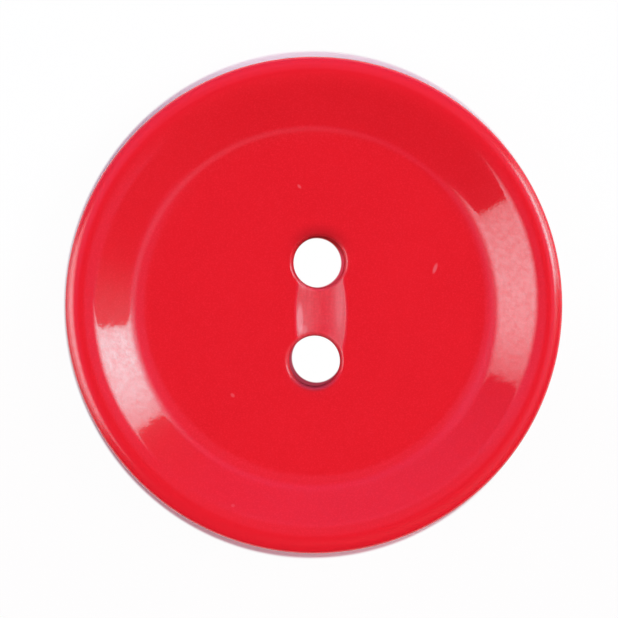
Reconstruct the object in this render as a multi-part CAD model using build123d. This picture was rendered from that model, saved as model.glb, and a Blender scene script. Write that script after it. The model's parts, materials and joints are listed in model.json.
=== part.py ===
from build123d import *
from math import asin, atan2, cos, degrees, radians, sin
import os

# A two-hole sewing button, turned from one piece of plastic. The front is a flat well,
# a band that slopes up from it and a rounded rim; a boat-shaped groove joins the holes
# and lets the thread lie below the surface.
# Millimetres. Z = 0 is the back face, the front looks along +Z, the button's centre is
# on the Z axis and the two holes lie side by side along Y.

# Blank and front
button_diameter = 23.0
rim_thickness = 3.3         # from the back face to the top of the rim
well_depth = 0.9            # top of the rim down to the flat well
rim_width = 3.38            # edge of the button to the foot of the sloping band
foot_radius = 3.3           # hollow corner between the well and the band
crest_radius = 2.6          # rounds the band over into the top of the rim
rim_round_radius = 0.64     # outer side of the rim, from its top
rim_round_turn = 40.0       # degrees, where the tighter corner takes over
rim_corner_radius = 0.25    # corner into the side wall

# Back
back_bevel_width = 3.6      # flat back face to the side wall
back_bevel_rise = 0.9
back_blend_radius = 2.5     # back face into the bevel
back_chamfer = 0.3          # bevel into the side wall

# Thread holes
hole_diameter = 2.35
hole_spacing = 4.58         # centre to centre
hole_mouth_radius = 0.2
pair_offset_x = 0.15        # the pair was drilled a little off the button's centre
pair_offset_y = -0.3

# Thread groove, cut by a disc with a round edge that is sunk into the well
groove_tip_inset = 0.365    # from the far side of each hole back to the groove's tip
groove_width = 2.35
groove_depth = 0.3
groove_offset_x = 0.2       # it runs a little to one side of the holes
groove_offset_y = -0.09
groove_turn = 2.4           # degrees out of line with the holes

outer_radius = button_diameter / 2
well_height = rim_thickness - well_depth
mouth_diameter = hole_diameter + 2 * hole_mouth_radius
groove_length = hole_spacing + hole_diameter - 2 * groove_tip_inset


def rim_rounding():
    # Two tangent arcs, from the top of the rim round to the side wall.
    turn = radians(rim_round_turn)
    across = (rim_round_radius - rim_corner_radius) * sin(turn)
    up = (rim_round_radius - rim_corner_radius) * cos(turn)
    centre = Vector(outer_radius - rim_corner_radius - across, rim_thickness - rim_round_radius)
    CenterArc(centre, rim_round_radius, 90, -rim_round_turn)
    corner_centre = centre + Vector(across, up)
    corner = CenterArc(corner_centre, rim_corner_radius, 90 - rim_round_turn, rim_round_turn - 90)
    return centre.X, corner @ 1


def front_profile():
    # From the button's axis along the well, up the band and over the rim to the side wall.
    rim_top_radius, wall_top = rim_rounding()
    foot = Vector(outer_radius - rim_width, well_height)
    crest_centre = Vector(rim_top_radius, rim_thickness - crest_radius)
    reach = crest_centre - foot
    band_angle = degrees(atan2(reach.Y, reach.X) + asin(crest_radius / reach.length))
    crest = CenterArc(crest_centre, crest_radius, 90 + band_angle, -band_angle)
    FilletPolyline((0, well_height), foot, crest @ 0, radius=foot_radius)
    return wall_top


def back_profile(wall_top):
    # From the side wall down over the bevel and across the back face to the axis.
    bevel_top = (outer_radius - back_chamfer, back_bevel_rise)
    Polyline(wall_top, (outer_radius, back_bevel_rise + back_chamfer), bevel_top)
    FilletPolyline(bevel_top, (outer_radius - back_bevel_width, 0), (0, 0), radius=back_blend_radius)
    Line((0, 0), (0, well_height))


def button_blank():
    with BuildPart() as blank:
        with BuildSketch(Plane.XZ):
            with BuildLine():
                wall_top = front_profile()
                back_profile(wall_top)
            make_face()
        revolve(axis=Axis.Z)
    return blank.part


def arc_radius(chord, rise):
    # Radius of the arc that stands `rise` above the middle of its chord.
    return ((chord / 2) ** 2 + rise**2) / (2 * rise)


def groove_cutter():
    # A disc on an axle along X: its size sets the groove's length, its edge the width.
    disc_radius = arc_radius(groove_length, groove_depth)
    edge_radius = arc_radius(groove_width, groove_depth)
    axle = Vector(0, 0, well_height - groove_depth + disc_radius)
    with BuildPart() as cutter:
        with BuildSketch(Plane(axle, x_dir=(1, 0, 0), z_dir=(0, -1, 0))):
            with BuildLine():
                edge = CenterArc((0, disc_radius - edge_radius), edge_radius, 0, 180)
                Polyline(edge @ 1, (-edge_radius, 0), (edge_radius, 0), edge @ 0)
            make_face()
        revolve(axis=Axis(axle, (1, 0, 0)))
    return cutter.part


def hole_cutter():
    # A drill with a flared collar at the well and at the back face, which rounds the mouths.
    # It stands out above the well and below the back face.
    mouth = mouth_diameter / 2
    front_flare_centre = (mouth, well_height - hole_mouth_radius)
    with BuildPart() as cutter:
        with BuildSketch(Plane.XZ):
            with BuildLine():
                back_flare = CenterArc((mouth, hole_mouth_radius), hole_mouth_radius, 270, -90)
                front_flare = CenterArc(front_flare_centre, hole_mouth_radius, 180, -90)
                Line(back_flare @ 1, front_flare @ 0)
                Polyline(
                    front_flare @ 1,
                    (mouth, rim_thickness),
                    (0, rim_thickness),
                    (0, -hole_mouth_radius),
                    (mouth, -hole_mouth_radius),
                    back_flare @ 0,
                )
            make_face()
        revolve(axis=Axis.Z)
    return cutter.part


def button():
    pair_place = Pos(pair_offset_x, pair_offset_y, 0)
    groove_place = pair_place * Pos(groove_offset_x, groove_offset_y, 0) * Rot(0, 0, groove_turn)
    body = button_blank() - groove_place * groove_cutter()
    for side in (-1, 1):
        body -= pair_place * Pos(0, side * hole_spacing / 2, 0) * hole_cutter()
    return body


os.makedirs("parts", exist_ok=True)
export_step(button(), "parts/button.step")
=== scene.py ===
import bpy
import json
import math
from mathutils import Matrix, Vector


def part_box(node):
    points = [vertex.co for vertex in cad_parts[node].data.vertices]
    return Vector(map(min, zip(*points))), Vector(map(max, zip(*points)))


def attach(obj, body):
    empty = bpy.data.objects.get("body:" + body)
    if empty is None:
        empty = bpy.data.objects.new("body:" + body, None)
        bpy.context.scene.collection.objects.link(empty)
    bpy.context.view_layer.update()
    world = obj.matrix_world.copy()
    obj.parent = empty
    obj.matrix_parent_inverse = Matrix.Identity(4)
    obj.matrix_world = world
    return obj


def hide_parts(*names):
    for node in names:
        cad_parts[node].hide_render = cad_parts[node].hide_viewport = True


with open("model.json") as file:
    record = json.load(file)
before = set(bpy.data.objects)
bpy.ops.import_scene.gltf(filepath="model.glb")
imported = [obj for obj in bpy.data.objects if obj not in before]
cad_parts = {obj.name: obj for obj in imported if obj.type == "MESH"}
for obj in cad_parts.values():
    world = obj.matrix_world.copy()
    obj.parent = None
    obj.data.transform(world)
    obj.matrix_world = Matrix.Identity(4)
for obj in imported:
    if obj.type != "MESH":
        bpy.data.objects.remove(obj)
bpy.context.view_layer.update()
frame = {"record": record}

# A glossy red two-hole sewing button on a white table, seen straight from the front.
# Lengths in the dictionaries are millimetres on the button, angles are degrees.
mm = 0.001
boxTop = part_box("button")[1]
outerRadius = boxTop.x / mm
rimThickness = boxTop.z / mm
bores = [mount for mount in frame["record"]["mounts"] if mount["kind"] == "bore"]
holeCentres = [Vector(bore["pos_m"][:2]) / mm for bore in bores]
boreRadius = bores[0]["dims"]["r_mm"]
pairCentre = (holeCentres[0] + holeCentres[1]) / 2
pairHalf = (holeCentres[0] - holeCentres[1]).length / 2


def addObject(name, data):
    made = bpy.data.objects.new(name, data)
    bpy.context.scene.collection.objects.link(made)
    return made


# Shader helpers

class Value:  # a socket that takes part in Python arithmetic
    def __init__(self, shader, socket):
        self.shader = shader
        self.socket = socket

    def __add__(self, other):
        return self.shader.maths("ADD", self, other)

    def __sub__(self, other):
        return self.shader.maths("SUBTRACT", self, other)

    def __rsub__(self, other):
        return self.shader.maths("SUBTRACT", other, self)

    def __mul__(self, other):
        return self.shader.maths("MULTIPLY", self, other)

    def __truediv__(self, other):
        return self.shader.maths("DIVIDE", self, other)

    def __rtruediv__(self, other):
        return self.shader.maths("DIVIDE", other, self)

    def __abs__(self):
        return self.shader.maths("ABSOLUTE", self)

    __radd__ = __add__
    __rmul__ = __mul__


class Shader:  # the node tree of a material, a lamp or the world
    def __init__(self, owner):
        owner.use_nodes = True
        self.tree = owner.node_tree
        self.tree.nodes.clear()

    def node(self, kind, settings=None, values=None, out=0):
        made = self.tree.nodes.new(kind)
        for key, setting in (settings or {}).items():
            setattr(made, key, setting)
        for key, value in (values or {}).items():
            socket = made.inputs[key]
            if isinstance(value, Value):
                self.tree.links.new(value.socket, socket)
            else:
                socket.default_value = value
        return Value(self, made.outputs[out]) if len(made.outputs) else None

    def maths(self, operation, *values):
        return self.node("ShaderNodeMath", {"operation": operation}, dict(enumerate(values)))

    def larger(self, first, second):
        return self.maths("MAXIMUM", first, second)

    def length(self, x, y):
        return self.maths("SQRT", x * x + y * y)

    def smooth(self, value, span):  # eased from 0 to 1 along the span, which may also run down
        start, end = span
        if end < start:
            return 1 - self.smooth(value, (end, start))
        settings = {"interpolation_type": "SMOOTHSTEP"}
        values = {"Value": value, "From Min": start, "From Max": end}
        return self.node("ShaderNodeMapRange", settings, values)

    def mixColour(self, factor, first, second):  # 6, 7 and 2 are the sockets of its colours
        values = {0: factor, 6: first, 7: second}
        return self.node("ShaderNodeMix", {"data_type": "RGBA"}, values, out=2)

    def noise(self, where, scale, detail, roughness):
        values = {"Vector": where, "Scale": scale, "Detail": detail, "Roughness": roughness}
        return self.node("ShaderNodeTexNoise", None, values)

    def ray(self, kind):  # 1 for rays of this kind, otherwise 0
        return self.node("ShaderNodeLightPath", out="Is " + kind + " Ray")

    def split(self, vector):
        parts = self.node("ShaderNodeSeparateXYZ", None, {0: vector}).socket.node.outputs
        return [Value(self, part) for part in parts]

    def place(self, output, scale):  # a scaled coordinate, and its three parts
        raw = self.node("ShaderNodeTexCoord", out=output)
        values = {0: raw, "Scale": scale}
        scaled = self.node("ShaderNodeVectorMath", {"operation": "SCALE"}, values)
        return [scaled] + self.split(scaled)


# Button mesh

buttonForm = {
    "wellDepth": 0.9,
    "rimWidth": 3.38,
    "footRadius": 3.3,
    "crestRadius": 2.6,
    "crestTurn": 6,            # tilt up to which the crest's inner curve holds
    "rimRoundRadius": 1.2,
    "rimRoundTurn": 25,        # tilt at which the smaller outer corner takes over
    "rimCornerRadius": 0.25,
    "bevelWidth": 3.6,
    "bevelRise": 0.9,
    "blendRadius": 2.5,
    "chamfer": 0.3,
    "edgeRounding": 0.07,      # polished-off corners of the chamfer
    "frontShift": (0.055, 0),  # the front was turned a hair off the axis of the wall
    "shiftFade": 0.6,          # width over which that shift dies away towards the wall
    "shiftMargin": 0.075,      # and how far from the wall it's gone
    "mouthRadius": 0.2,
    "mouthDepth": 0.28,
    "grooveTipInset": 0.365,   # from the far side of each hole back to the groove's tip
    "grooveWidth": 2.35,
    "grooveDepth": 0.3,
    "grooveOffset": (0.2, -0.09),
    "grooveTurn": 2.4,
    "grooveEdge": 0.05,        # height over which the groove's edge is polished round
    "wellRing": 7.4,           # the turned rings end here, on the front and on the back
    "patchRing": 5.6,          # and the finer faces round the two holes begin here
    "columns": 256,            # from here on, into how many steps each part is cut
    "chordSteps": 80,
    "arcSteps": 14,
    "bandSteps": 10,
    "edgeSteps": 3,
    "chamferSteps": 2,
    "wallSteps": 8,
    "bevelSteps": 6,
    "mouthSteps": 8,
    "boreSteps": 6,
    "frontPatch": (24, 0.9),   # rows, and how much they crowd on the outer side of the hole
    "backPatch": (8, 0.5),
}


def arcPoints(centre, radius, start, end, steps):
    # Angles are tilts of the surface: 0 faces up, 90 outwards, 180 down.
    points = []
    for step in range(steps + 1):
        tilt = math.radians(start + (end - start) * step / steps)
        x = centre[0] + radius * math.sin(tilt)
        y = centre[1] + radius * math.cos(tilt)
        points.append(Vector((x, y)))
    return points


def roundCorner(before, corner, after, radius, steps):
    corner = Vector(corner)
    inward = (Vector(before) - corner).normalized()
    onward = (Vector(after) - corner).normalized()
    half = inward.angle(onward) / 2
    reach = radius / math.tan(half)
    centre = corner + (inward + onward).normalized() * radius / math.sin(half)
    first = corner + inward * reach - centre
    last = corner + onward * reach - centre
    spokes = [first.lerp(last, step / steps) for step in range(steps + 1)]
    return [centre + spoke.normalized() * radius for spoke in spokes]


def straight(start, end, steps):  # only the points between the two ends
    return [Vector(start).lerp(Vector(end), step / steps) for step in range(1, steps)]


def ringProfile(form):
    # The turned section, from the flat well over the rim and round to the flat back.
    wellHeight = rimThickness - form["wellDepth"]
    crestRadius, rimRadius = form["crestRadius"], form["rimRoundRadius"]
    cornerRadius, rounding = form["rimCornerRadius"], form["edgeRounding"]
    crestTurn, rimTurn = form["crestTurn"], form["rimRoundTurn"]
    arcSteps, bandSteps, edgeSteps = form["arcSteps"], form["bandSteps"], form["edgeSteps"]

    turn = math.radians(rimTurn)
    slack = rimRadius - cornerRadius
    rimTop = outerRadius - cornerRadius - slack * math.sin(turn)
    rimCentre = Vector((rimTop, rimThickness - rimRadius))
    cornerCentre = rimCentre + Vector((math.sin(turn), math.cos(turn))) * slack
    lean = math.radians(crestTurn)
    easing = crestRadius - rimRadius
    crestCentre = rimCentre + Vector((math.sin(lean), -math.cos(lean))) * easing
    foot = Vector((outerRadius - form["rimWidth"], wellHeight))
    reach = crestCentre - foot
    rise = math.atan2(reach.y, reach.x)
    slope = math.degrees(rise + math.asin(crestRadius / reach.length))

    wallFoot = (outerRadius, form["bevelRise"] + form["chamfer"])
    bevelTop = (outerRadius - form["chamfer"], form["bevelRise"])
    landEdge = (outerRadius - form["bevelWidth"], 0)
    crest = arcPoints(crestCentre, crestRadius, -slope, -crestTurn, arcSteps)
    footArc = roundCorner((0, wellHeight), foot, crest[0], form["footRadius"], bandSteps)
    rim = arcPoints(rimCentre, rimRadius, -crestTurn, rimTurn, arcSteps)
    corner = arcPoints(cornerCentre, cornerRadius, rimTurn, 90, arcSteps)
    lowerEdge = roundCorner(corner[-1], wallFoot, bevelTop, rounding, edgeSteps)
    bevelEdge = roundCorner(wallFoot, bevelTop, landEdge, rounding, edgeSteps)
    blend = roundCorner(bevelTop, landEdge, (0, 0), form["blendRadius"], form["bevelSteps"])

    profile = [Vector((form["wellRing"], wellHeight))] + footArc
    profile += straight(footArc[-1], crest[0], bandSteps) + crest + rim[1:] + corner[1:]
    profile += straight(corner[-1], lowerEdge[0], form["wallSteps"]) + lowerEdge
    profile += straight(lowerEdge[-1], bevelEdge[0], form["chamferSteps"]) + bevelEdge
    profile += straight(bevelEdge[-1], blend[0], form["bevelSteps"]) + blend
    return profile + [Vector((form["wellRing"], 0))]


def chordRadius(chord, rise):  # of the circle that rises this far over a chord
    return ((chord / 2) ** 2 + rise ** 2) / (2 * rise)


def wellSurface(form):
    # Height of the well at a point, with the groove that a round-edged disc leaves in it.
    wellHeight = rimThickness - form["wellDepth"]
    length = 2 * (pairHalf + boreRadius - form["grooveTipInset"])
    discRadius = chordRadius(length, form["grooveDepth"])
    edgeRadius = chordRadius(form["grooveWidth"], form["grooveDepth"])
    axle = wellHeight - form["grooveDepth"] + discRadius
    soft = form["grooveEdge"]
    turn = math.radians(form["grooveTurn"])

    def height(x, y):
        spot = Vector((x, y)) - pairCentre - Vector(form["grooveOffset"])
        across = spot.x * math.cos(turn) + spot.y * math.sin(turn)
        along = spot.y * math.cos(turn) - spot.x * math.sin(turn)
        if abs(across) >= edgeRadius:
            return wellHeight
        reach = discRadius - edgeRadius + math.sqrt(edgeRadius ** 2 - across ** 2)
        cut = axle - math.sqrt(reach ** 2 - along ** 2)
        blend = max(soft - abs(cut - wellHeight), 0) / soft
        return min(cut, wellHeight) - blend ** 2 * soft / 4
    return height


class MeshBook:  # collects faces and shares the points that they have in common
    def __init__(self):
        self.points = []
        self.found = {}
        self.faces = []

    def point(self, x, y, z):
        key = (round(x, 5), round(y, 5), round(z, 5))
        if key not in self.found:
            self.found[key] = len(self.points)
            self.points.append((x * mm, y * mm, z * mm))
        return self.found[key]

    def strip(self, first, second):  # a closed belt of faces between two rows of points
        for j in range(len(first)):
            k = (j + 1) % len(first)
            face = [first[j], first[k], second[k], second[j]]
            face = [p for i, p in enumerate(face) if p != face[i - 1]]
            if len(face) > 2:
                self.faces.append(face)


def circleRow(book, centre, radius, z, columns):
    row = []
    for j in range(columns):
        angle = 2 * math.pi * j / columns
        x = centre[0] + radius * math.cos(angle)
        y = centre[1] + radius * math.sin(angle)
        row.append(book.point(x, y, z))
    return row


def patchBoundary(form, side):
    # Half a disc round the pair's centre, walked round once: first its arc, then its straight
    # side, whose points the hole's centre sees at equal angles.
    half = form["columns"] // 2
    start = 0 if side > 0 else math.pi
    points = []
    for j in range(half):
        angle = start + math.pi * j / half
        points.append(pairCentre + Vector((math.cos(angle), math.sin(angle))) * form["patchRing"])
    spread = math.atan(form["patchRing"] / pairHalf)
    for j in range(form["chordSteps"]):
        seen = spread * (2 * j / form["chordSteps"] - 1)
        points.append(pairCentre + Vector((side * pairHalf * math.tan(seen), 0)))
    return points


def holePatch(book, form, side, height, front):
    # Rows of points from the bore over its mouth and out to the half-disc's boundary.
    # Returns the row that lies on the bore's wall.
    rings, grading = form["frontPatch" if front else "backPatch"]
    depth = form["mouthDepth"] if front else -form["mouthDepth"]
    mouth, mouthSteps = form["mouthRadius"], form["mouthSteps"]
    centre = pairCentre + Vector((0, side * pairHalf))
    spokes = [(edge, (edge - centre).normalized()) for edge in patchBoundary(form, side)]
    rows = []
    for i in range(mouthSteps):
        tilt = math.pi / 2 * i / mouthSteps
        reach = boreRadius + mouth * (1 - math.cos(tilt))
        row = []
        for edge, away in spokes:
            spot = centre + away * reach
            row.append(book.point(*spot, height(*spot) - depth * (1 - math.sin(tilt))))
        rows.append(row)
    for i in range(rings + 1):
        row = []
        for edge, away in spokes:
            near = centre + away * (boreRadius + mouth)
            outward = 0.5 + 0.5 * away.y * side
            spot = near.lerp(edge, (i / rings) ** (1 + grading * outward))
            row.append(book.point(*spot, height(*spot)))
        rows.append(row)
    for inner, outer in zip(rows, rows[1:]):
        book.strip(*((inner, outer) if front else (outer, inner)))
    return rows[0]


def buttonMesh(form):
    book = MeshBook()
    columns = form["columns"]
    wellHeight = rimThickness - form["wellDepth"]
    wallStart = outerRadius - form["shiftMargin"]
    shift = Vector(form["frontShift"])
    rings = [circleRow(book, pairCentre, form["patchRing"], wellHeight, columns)]
    for spot in ringProfile(form):
        share = min(max((wallStart - spot.x) / form["shiftFade"], 0), 1)
        if spot.y < wellHeight:
            share = 0
        rings.append(circleRow(book, shift * share, spot.x, spot.y, columns))
    rings.append(circleRow(book, pairCentre, form["patchRing"], 0, columns))
    for inner, outer in zip(rings, rings[1:]):
        book.strip(inner, outer)

    frontHeight = wellSurface(form)
    for side in (1, -1):
        top = holePatch(book, form, side, frontHeight, True)
        foot = holePatch(book, form, side, lambda x, y: 0, False)
        tops, feet = [[Vector(book.points[p]) / mm for p in row] for row in (top, foot)]
        wall = [top]
        for step in range(1, form["boreSteps"]):
            share = step / form["boreSteps"]
            wall.append([book.point(*a.lerp(b, share)) for a, b in zip(tops, feet)])
        wall.append(foot)
        for upper, lower in zip(wall, wall[1:]):
            book.strip(lower, upper)
    mesh = bpy.data.meshes.new("button_body")
    mesh.from_pydata(book.points, [], book.faces)
    mesh.validate()
    mesh.update()
    mesh.shade_smooth()
    return mesh


def addButton():
    mesh = buttonMesh(buttonForm)
    piece = addObject("button_body", mesh)
    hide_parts("button")
    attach(piece, "root")
    mesh.materials.append(buttonPlastic(plasticLook))
    print("button mesh:", len(mesh.vertices), "points,", len(mesh.polygons), "faces")


# Button plastic

plasticLook = {
    "red": (0.83, 0.0138, 0.0225, 1),
    "deepRed": (0.77, 0.0120, 0.0195, 1),      # in clouds
    "brightRed": (0.86, 0.0210, 0.0340, 1),    # in fine grains
    "rimRed": (0.86, 0.0150, 0.0270, 1),       # painted light: thin edges would let a little light through, and the rim is painted lighter for it
    "cutRed": (0.82, 0.0165, 0.0335, 1),
    "cutDeep": (0.75, 0.0125, 0.0265, 1),
    "shadeRed": (0.27, 0.0095, 0.0140, 1),
    "shadeMauve": (0.33, 0.0340, 0.0580, 1),
    # the pink of painted sheen and highlights in the groove and at the holes' mouths
    "hazePink": (0.95, 0.2500, 0.2700, 1),
    "speckPink": (0.86, 0.13, 0.15, 1),
    # painted sheen: a faint pink along the duller ring at the foot of the band
    "ringPink": (0.86, 0.035, 0.170, 1),
    "ringTint": 0.05,
    "ringCentre": (-0.04, -0.14),  # a duller ring runs along the foot of the band
    "ringRadius": 8.32,
    "ringRoughness": 0.15,
    "refraction": 1.55,
    "gloss": 0.036,
    "glossDrift": 0.04,
    "waxiness": 0.45,              # uneven polish, which mottles what the face mirrors
    "rimRoughness": 0.10,          # more on the tumbled outer edge
    "cutRoughness": 0.40,
    "cutDrift": 0.25,
    "markPolish": 0.08,            # how much smoother the highlight marks are
    "mouthRoughness": (0.14, 0.34),  # in the holes' mouths, and more down their steep part
    "peelDepth": 0.0020,
    "grainDepth": 0.0005,
    "streakDepth": 0.006,
    "haze": 0.11,                  # along the streaks of the groove: partly their own paler tone, partly painted sheen
    "rubbedHaze": 0.66,            # painted highlights on its marks
    "innerHaze": 0.2,              # painted light in the mouths where the groove runs into them, lifting their shade
    "mouthHaze": 0.08,             # painted highlights at the mouths' sides
    "upperShade": (0.42, 0.12),    # darkening past the holes' outer sides, more in the mouths
    "lowerShade": (0.06, 0.80),
    "streakStretch": (9, 0.8, 3),
    "noises": {                    # scale, detail and roughness
        "streaks": (1.0, 3.0, 0.6),
        "smudge": (1.7, 2.0, 0.5),
        "grain": (13.0, 2.0, 0.7),
        "cloud": (0.3, 3.0, 0.5),
        "peel": (2.4, 2.0, 0.5),
        "mottle": (9.0, 3.0, 0.6),
        "wax": (3.6, 4.0, 0.8),
    },
    "spans": {                     # where each mask begins and where it's full
        "upperHalf": (-0.5, 0.5),     # height over the pair's centre
        "front": (1.5, 2.0),          # height over the table
        "offBack": (0.1, 0.3),
        "cutHeight": (-0.012, -0.04),  # height over the well
        "cutReach": (4.6, 4.2),       # distance from the pair's centre
        "rim": (10.3, 11.2),          # distance from the button's centre
        "tumbled": (10.8, 11.2),
        "ring": (0.24, 0.02),         # distance from the ring's line
        "grooveEnd": (0.3, -0.2),     # past the middle of a hole, away from the groove
        "paleEnd": (-0.9, -0.3),
        "inner": (-0.5, -1.0),
        "mouth": (0.0, -0.04),        # past the edge of a hole's mouth
        "wornMouth": (-0.05, -0.13),
        "innerMouth": (0.0, -0.15),
        "paleMouth": (0.12, -0.1),
        "shadeMouth": (0.12, -0.2),
        "shade": (0.6, -0.15),
        "facing": (0.2, 1.0),         # sine and cosine of the way round a hole
        "paleRight": (0.3, 0.95),
        "paleLeft": (-0.2, -0.9),
        "speck": (1.3, 0.5),          # share of a speck's half size
        "brightGrain": (0.42, 0.75),  # strength of the noise
        "dullGrain": (0.45, 0.85),
        "mottle": (0.4, 0.65),
        "streaks": (0.4, 0.7),
        "smudge": (0.35, 0.65),
        "wax": (0.37, 0.63),
    },
    "marks": [  # painted highlights in the groove, as pale marks: where, length and width, turn, strength
        ((-0.620, -0.660), (1.45, 0.30), 92, 0.95),
        ((-0.450, -1.180), (0.50, 0.40), 60, 0.36),
        ((-0.600, 0.940), (0.50, 0.40), 120, 0.30),
        ((1.200, 0.050), (2.40, 0.40), 92, 0.20),
    ],
    "specks": [  # the same for the pale specks on the face
        ((-0.897, 5.468), (0.24, 0.13), -48, 0.60),
        ((5.546, 1.932), (0.52, 0.17), 72, 0.80),
        ((-3.586, -4.333), (0.24, 0.16), -43, 0.55),
        ((-3.353, -9.416), (0.20, 0.16), 0, 0.30),
    ],
}


def speckMask(shader, specks, span, x, y):
    total = 0
    for centre, size, turn, strength in specks:
        cosine, sine = math.cos(math.radians(turn)), math.sin(math.radians(turn))
        across, up = x - centre[0], y - centre[1]
        long = (across * cosine + up * sine) * (2 / size[0])
        wide = (up * cosine - across * sine) * (2 / size[1])
        total = shader.smooth(shader.length(long, wide), span) * strength + total
    return total


def buttonPlastic(look):
    material = bpy.data.materials.new("buttonPlastic")
    shader = Shader(material)
    spans, noises = look["spans"], look["noises"]
    where, x, y, z = shader.place("Object", 1 / mm)
    wellHeight = rimThickness - buttonForm["wellDepth"]
    across, along = x - pairCentre.x, y - pairCentre.y
    outward = abs(along) - pairHalf
    fromHole = shader.length(across, outward)
    pastMouth = fromHole - (boreRadius + buttonForm["mouthRadius"])
    sideways = across / fromHole
    facing = shader.smooth(outward / fromHole, spans["facing"])
    upperHalf = shader.smooth(along, spans["upperHalf"])
    lowerHalf = 1 - upperHalf
    front = shader.smooth(z, spans["front"])
    radius = shader.length(x, y)

    stretched = shader.node(
        "ShaderNodeVectorMath", {"operation": "MULTIPLY"}, {0: where, 1: look["streakStretch"]})
    streaks = shader.noise(stretched, *noises["streaks"])
    smudge = shader.noise(where, *noises["smudge"])
    grain = shader.noise(where, *noises["grain"])
    cloud = shader.noise(where, *noises["cloud"])
    peel = shader.noise(where, *noises["peel"])
    mottle = shader.noise(where, *noises["mottle"])

    # The groove and the mouths of the holes are cut into the polished face.
    cutHeight = [wellHeight + part for part in spans["cutHeight"]]
    grooved = shader.smooth(z, cutHeight) * shader.smooth(outward, spans["grooveEnd"])
    mouth = shader.smooth(pastMouth, spans["mouth"]) * (1 - grooved)
    inside = shader.smooth(shader.length(across, along), spans["cutReach"])
    inside = inside * shader.smooth(z, spans["offBack"])
    grooved, mouth = grooved * inside, mouth * inside
    face = 1 - grooved - mouth

    # Colour of the face, then of the groove.
    colour = shader.mixColour(cloud, look["red"], look["deepRed"])
    brightGrain = shader.smooth(grain, spans["brightGrain"])
    colour = shader.mixColour(brightGrain, colour, look["brightRed"])
    # painted light: the outer rim is painted a lighter red
    colour = shader.mixColour(shader.smooth(radius, spans["rim"]), colour, look["rimRed"])
    ringSide = shader.length(x - look["ringCentre"][0], y - look["ringCentre"][1])
    ring = shader.smooth(abs(ringSide - look["ringRadius"]), spans["ring"]) * front
    # painted sheen along the ring at the foot of the band
    colour = shader.mixColour(ring * look["ringTint"], colour, look["ringPink"])
    rubbed = shader.smooth(mottle, spans["mottle"])
    rubbed = shader.mixColour(rubbed, look["cutDeep"], look["cutRed"])
    colour = shader.mixColour(grooved, colour, rubbed)

    # Painted sheen and highlights: along the groove's streaks, partly their own paler tone, on
    # its marks and at the holes' mouths.
    marks = speckMask(shader, look["marks"], spans["speck"], x, y) * grooved
    # Painted highlights on the mouths: the upper hole's right side and the lower hole's left
    # side.
    right = shader.smooth(sideways, spans["paleRight"]) * upperHalf
    left = shader.smooth(sideways, spans["paleLeft"]) * lowerHalf
    sideGlint = (right + left) * shader.smooth(pastMouth, spans["paleMouth"])
    sideGlint = sideGlint * shader.smooth(outward, spans["paleEnd"]) * look["mouthHaze"]
    # Painted light lifts the shade in the mouths where the groove runs into them.
    inner = shader.smooth(outward, spans["inner"])
    inner = inner * shader.smooth(pastMouth, spans["innerMouth"]) * look["innerHaze"]
    # The groove's streaks: partly their own paler tone, partly painted sheen.
    haze = shader.smooth(streaks, spans["streaks"]) * shader.smooth(smudge, spans["smudge"])
    haze = haze * grooved * look["haze"]
    haze = haze + marks * (streaks + 0.5) * look["rubbedHaze"] + sideGlint + inner
    colour = shader.mixColour(haze, colour, look["hazePink"])

    # Shade on the outer sides of the holes, and the specks.
    shade = shader.smooth(pastMouth, spans["shade"])
    inMouth = shader.smooth(pastMouth, spans["shadeMouth"])
    upper, upperMouth = look["upperShade"]
    lower, lowerMouth = look["lowerShade"]
    upperShade = (shade * upper + inMouth * upperMouth) * facing * upperHalf
    lowerShade = (shade * lower + inMouth * facing * lowerMouth) * facing * lowerHalf
    colour = shader.mixColour(upperShade, colour, look["shadeRed"])
    colour = shader.mixColour(lowerShade, colour, look["shadeMauve"])
    specks = speckMask(shader, look["specks"], spans["speck"], x, y) * front
    colour = shader.mixColour(specks, colour, look["speckPink"])

    polished = look["gloss"] + shader.smooth(grain, spans["dullGrain"]) * look["glossDrift"]
    tumbled = shader.smooth(radius, spans["tumbled"])
    polished = polished + ring * look["ringRoughness"] + tumbled * look["rimRoughness"]
    matt = look["cutRoughness"] + (streaks + smudge - 1) * look["cutDrift"]
    matt = matt - marks * look["markPolish"]
    mouthStart, mouthMore = look["mouthRoughness"]
    worn = mouthStart + shader.smooth(pastMouth, spans["wornMouth"]) * mouthMore
    wax = shader.smooth(shader.noise(where, *noises["wax"]), spans["wax"]) * face
    height = peel * look["peelDepth"] + grain * look["grainDepth"]
    height = height + streaks * grooved * look["streakDepth"]
    relief = {"Strength": 1.0, "Distance": mm, "Height": height}
    surface = shader.node("ShaderNodeBsdfPrincipled", None, {
        "Base Color": colour,
        "Roughness": polished * face + matt * grooved + worn * mouth,
        "IOR": look["refraction"],
        "Coat Weight": wax * look["waxiness"],
        "Coat Roughness": look["gloss"],
        "Normal": shader.node("ShaderNodeBump", None, relief),
    })
    shader.node("ShaderNodeOutputMaterial", None, {"Surface": surface})
    return material


# Table

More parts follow.
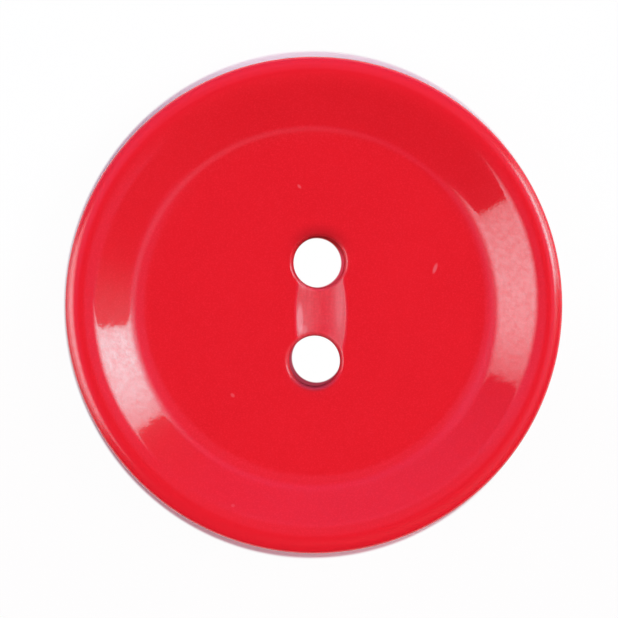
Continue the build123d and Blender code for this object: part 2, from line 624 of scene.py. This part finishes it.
tableLook = {
    "size": 1200,
    "paper": (0.92, 0.97, 0.96, 1),
    "lowerPaper": (0.76, 0.48, 0.53, 1),   # painted shade: darker, pinker paper towards the lower edge of the picture
    "lowerSpan": (4, -6),
    "underside": (0.30, 0.045, 0.080, 1),  # painted shadow: dark paper under the button
    "undersideSpan": (0.6, 0.7),           # share of the contact's reach where it ends
    "whiteShare": 0.97,         # the rest is the lit paper, which keeps the button's shadow
    "contact": (11.50, 11.76),  # half width and half length of the dark rim under the edge
    "contactShift": (-0.075, 0.02),
    "contactSoft": 0.012,
    "white": (1, 1, 1, 1),
    # Under each hole the paper shows white in a round spot, with a rim of painted shadow, emitted
    # in a dark colour that differs beside the hole and past it.
    "spotRadius": 1.15,
    "spotSoft": 0.03,
    "spotRim": (0.3, 0.2),      # outer end of the rim, past the spot's radius
    "pastSpan": (0.2, 1.0),
    "spots": [
        {"shift": (-0.10, -0.01),
         "beside": (0.60, 0.050, 0.085, 1), "past": (0.33, 0.015, 0.014, 1)},
        {"shift": (0.08, 0.136),
         "beside": (0.40, 0.055, 0.090, 1), "past": (0.35, 0.040, 0.067, 1)},
    ],
}


def addTable(look):
    half = look["size"] * mm / 2
    mesh = bpy.data.meshes.new("table")
    corners = [(-half, -half, 0), (half, -half, 0), (half, half, 0), (-half, half, 0)]
    mesh.from_pydata(corners, [], [(0, 1, 2, 3)])
    table = addObject("table", mesh)
    material = bpy.data.materials.new("tableWhite")
    mesh.materials.append(material)
    shader = Shader(material)
    x, y = shader.place("Object", 1 / mm)[1:3]
    wide = (x - look["contactShift"][0]) * (1 / look["contact"][0])
    deep = (y - look["contactShift"][1]) * (1 / look["contact"][1])
    reach = shader.length(wide, deep)
    bare = shader.smooth(reach, (1, 1 + look["contactSoft"])) * look["whiteShare"]
    camera = shader.ray("Camera")
    light = look["white"]
    radius, soft = look["spotRadius"], look["spotSoft"]
    rimSpan = [radius + part for part in look["spotRim"]]
    for hole, side, spot in zip(holeCentres, (1, -1), look["spots"]):
        across = x - (hole.x + spot["shift"][0])
        along = y - (hole.y + spot["shift"][1])
        away = shader.length(across, along)
        past = shader.smooth(along * side, look["pastSpan"])
        # painted shadow: the dark colours are emitted round each white spot
        shaded = shader.mixColour(past, spot["beside"], spot["past"])
        near = shader.smooth(away, rimSpan)
        rim = near * shader.smooth(away, (radius - soft, radius + soft))
        light = shader.mixColour(rim, light, shaded)
        bare = shader.larger(bare, near * camera)
    seen = shader.larger(shader.larger(camera, shader.ray("Glossy")), shader.ray("Transmission"))
    # painted shade: the paper turns darker and pinker towards the lower edge
    lower = shader.smooth(y, look["lowerSpan"])
    colour = shader.mixColour(lower, look["paper"], look["lowerPaper"])
    # painted shadow: dark paper under the button, inside the contact's reach
    outside = shader.smooth(reach, look["undersideSpan"])
    colour = shader.mixColour(outside, look["underside"], colour)
    paper = shader.node("ShaderNodeBsdfDiffuse", None, {"Color": colour})
    glow = shader.node("ShaderNodeEmission", None, {"Color": light, "Strength": 1.0})
    mixed = shader.node("ShaderNodeMixShader", None, {0: seen * bare, 1: paper, 2: glow})
    shader.node("ShaderNodeOutputMaterial", None, {"Surface": mixed})
    print("table")


# Light and camera

cameraView = {
    "pixels": 618,
    "pixelsPerMm": 248.6 / 11.5,
    "buttonPixel": (313.8, 305.1),
    "distance": 300,
    "sensor": 36,
    "roll": 2.36,        # the line of holes leans to the right in the picture
    "sightHeight": 3.0,  # height on the button where the scale holds
    "clip": (0.01, 10),  # in metres
}
# The soft boxes as the button sees them. An azimuth turns from the picture's right to its
# top. A box reaches from the near to the far zenith, and side degrees to each side at its
# waist, from where flare widens it both ways. It fades over soft degrees along and across,
# with a faint glow out to reach. It's brightest at peak, falls off to the sides with dome,
# and its far part has farShare of the light. Mirrored, it shows in glossTint.
softBoxes = {
    "rightBox": {
        "azimuth": 20.4, "near": 34.7, "far": 75, "side": 8.8, "waist": 40,
        "flare": (1.9, 1.9), "slant": -0.08, "soft": (14.0, 0.25), "reach": (28, 27),
        "radiance": 9.15, "farShare": 0.33, "glow": 0.11, "peak": -0.5, "dome": 0.18,
        "tint": (1.0, 1.0, 1.05), "glossTint": (0.30, 1.0, 1.05),
    },
    "leftBox": {
        "azimuth": 185.4, "near": 30.8, "far": 77, "side": 14.5, "waist": 40,
        "flare": (1.1, 1.8), "slant": 0.33, "soft": (14.0, 0.4), "reach": (34, 32),
        "radiance": 4.6, "farShare": 0.48, "glow": 0.02, "peak": -0.12, "dome": 0.30,
        "tint": (1.0, 1.0, 1.05), "glossTint": (0.68, 1.0, 1.05),
    },
}
boxDistance = 600
mirrorGap = 2      # a mirrored lamp hangs this much nearer, so that rays meet it first
farFade = 0.17     # share of the distance over which a box dims to its farShare
leastDome = 0.2
# A fill that only lifts the general level. It doesn't show in the gloss.
fillLight = {"azimuth": -20, "zenith": 25, "size": 500, "level": 0.465}
worldLook = {
    "tint": (0.7, 0.5, 1.2, 1),
    "top": 0.36,                    # a soft glow beyond the picture's upper side
    "topWay": (-0.26, 0.97),
    "topSpan": (0.15, 0.7),
    "topFade": (0.92, 0.80),
    "horizon": 0.8,                 # and one low down
    "horizonHeight": (0.4, 0.05),
    "horizonSpan": (-0.5, 0.3),
    "veilTint": (0.9, 0.42, 0.85, 1),
    "veil": 0.28,                   # pale veils near the camera, which the face mirrors
    "veilSlant": 0.3,
    "veilSpan": (0.0, 0.3),
    "sideVeil": 0.36,
    "sideVeilSlant": 0.8,
    "sideVeilSpan": (0.0, 0.25),
    "veilHeights": ((0.76, 0.85), (0.995, 0.965)),
}


def direction(zenith, azimuth):
    level = math.sin(zenith)
    return Vector((level * math.cos(azimuth), level * math.sin(azimuth), math.cos(zenith)))


def addCamera(view):
    data = bpy.data.cameras.new("camera")
    camera = addObject("camera", data)
    field = view["pixels"] / view["pixelsPerMm"]
    data.sensor_width = view["sensor"]
    data.lens = view["sensor"] * view["distance"] / field
    roll = math.radians(view["roll"])
    middle = view["pixels"] / 2
    right = Vector((math.cos(roll), math.sin(roll), 0))
    up = Vector((-math.sin(roll), math.cos(roll), 0))
    aside = (middle - view["buttonPixel"][0]) / view["pixelsPerMm"]
    below = (middle - view["buttonPixel"][1]) / view["pixelsPerMm"]
    camera.location = (right * aside - up * below) * mm
    camera.location.z = (view["sightHeight"] + view["distance"]) * mm
    camera.rotation_euler = (0, 0, roll)
    data.clip_start, data.clip_end = view["clip"]
    bpy.context.scene.camera = camera


def addSoftBox(name, box, mirrored):
    # Each box is two lamps. One lights what is matt, and one shows only in the gloss.
    azimuth = math.radians(box["azimuth"] + cameraView["roll"])
    middle = (box["near"] + box["far"]) / 2
    zenith = math.radians(middle)
    distance = (boxDistance - mirrorGap * mirrored) * mm
    away = direction(zenith, azimuth)
    outward = direction(zenith + math.pi / 2, azimuth)
    half = [math.tan(math.radians(reach)) for reach in box["reach"]]
    data = bpy.data.lights.new(name, "AREA")
    data.shape = "RECTANGLE"
    data.size = 2 * half[0] * distance
    data.size_y = 2 * half[1] * distance
    data.energy = math.pi * data.size * data.size_y
    data.color = box["glossTint" if mirrored else "tint"]
    light = addObject(name, data)
    light.visible_diffuse = not mirrored
    light.visible_glossy = mirrored
    turned = Matrix((outward, away.cross(outward), away)).transposed()
    light.matrix_world = Matrix.Translation(away * distance) @ turned.to_4x4()

    # The box's outline and brightness, drawn over the lamp. u runs outwards and v across.
    shader = Shader(data)
    u, v = shader.split(shader.node("ShaderNodeNewGeometry", out="Parametric"))[:2]
    u, v = (u - 0.5) * (2 * half[0]), (v - 0.5) * (2 * half[1])
    u = u + v * box["slant"]
    waist = math.tan(math.radians(box["waist"] - middle))
    side = math.tan(math.radians(box["side"]))
    past = u - waist
    widened = shader.larger(past * -box["flare"][0], past * box["flare"][1]) + 1
    offsides = (abs(u), abs(v) / widened)
    limits = ((box["far"] - box["near"]) / 2, box["side"])
    core, glow = 1.0, 1.0
    for offside, limit, soft, end in zip(offsides, limits, box["soft"], half):
        first, last = [math.tan(math.radians(limit + part * soft)) for part in (-0.5, 0.5)]
        core = shader.smooth(offside, (last, first)) * core
        glow = shader.smooth(offside, (end, first)) * glow
    far = 1 - shader.smooth(u, (waist, waist + farFade)) * (1 - box["farShare"])
    fromPeak = v * (1 / side) - box["peak"]
    domed = shader.larger(1 - fromPeak * fromPeak * box["dome"], leastDome)
    strength = (core + glow * box["glow"]) * far * domed * box["radiance"]
    emission = shader.node("ShaderNodeEmission", None, {"Strength": strength})
    shader.node("ShaderNodeOutputLight", None, {0: emission})


def addFill(fill):
    zenith = math.radians(fill["zenith"])
    away = direction(zenith, math.radians(fill["azimuth"]))
    data = bpy.data.lights.new("fill", "AREA")
    data.size = fill["size"] * mm
    data.energy = fill["level"] * math.pi ** 2 * (boxDistance * mm) ** 2 / math.cos(zenith)
    light = addObject("fill", data)
    light.location = away * boxDistance * mm
    light.rotation_euler = away.to_track_quat("Z", "Y").to_euler()
    light.visible_glossy = False


def addWorld(look):
    world = bpy.data.worlds.new("studio")
    bpy.context.scene.world = world
    shader = Shader(world)
    x, y, z = shader.place("Generated", 1.0)[1:]
    topSide = shader.smooth(y * look["topWay"][1] + x * look["topWay"][0], look["topSpan"])
    top = topSide * shader.smooth(z, look["topFade"]) * look["top"]
    low = shader.smooth(z, look["horizonHeight"]) * shader.smooth(y, look["horizonSpan"])
    strength = top + low * look["horizon"]
    side = abs(x)
    topVeil = shader.smooth(y + side * look["veilSlant"], look["veilSpan"])
    sideVeil = shader.smooth(side - abs(y) * look["sideVeilSlant"], look["sideVeilSpan"])
    veil = topVeil * look["veil"] + sideVeil * look["sideVeil"]
    for heights in look["veilHeights"]:
        veil = veil * shader.smooth(z, heights)
    share = veil / (strength + veil + 0.0001)  # never divided by nothing
    tint = shader.mixColour(share, look["tint"], look["veilTint"])
    glow = {"Color": tint, "Strength": strength + veil}
    studio = shader.node("ShaderNodeBackground", None, glow)
    plain = {"Color": (1, 1, 1, 1), "Strength": 1.0}
    white = shader.node("ShaderNodeBackground", None, plain)
    shares = {0: shader.ray("Camera"), 1: studio, 2: white}
    mixed = shader.node("ShaderNodeMixShader", None, shares)
    shader.node("ShaderNodeOutputWorld", None, {"Surface": mixed})


bpy.context.scene.view_settings.view_transform = "Standard"
addCamera(cameraView)
for name, box in softBoxes.items():
    addSoftBox(name, box, False)
    addSoftBox(name + "Mirrored", box, True)
addFill(fillLight)
addWorld(worldLook)
print("camera and lights")
addTable(tableLook)
addButton()
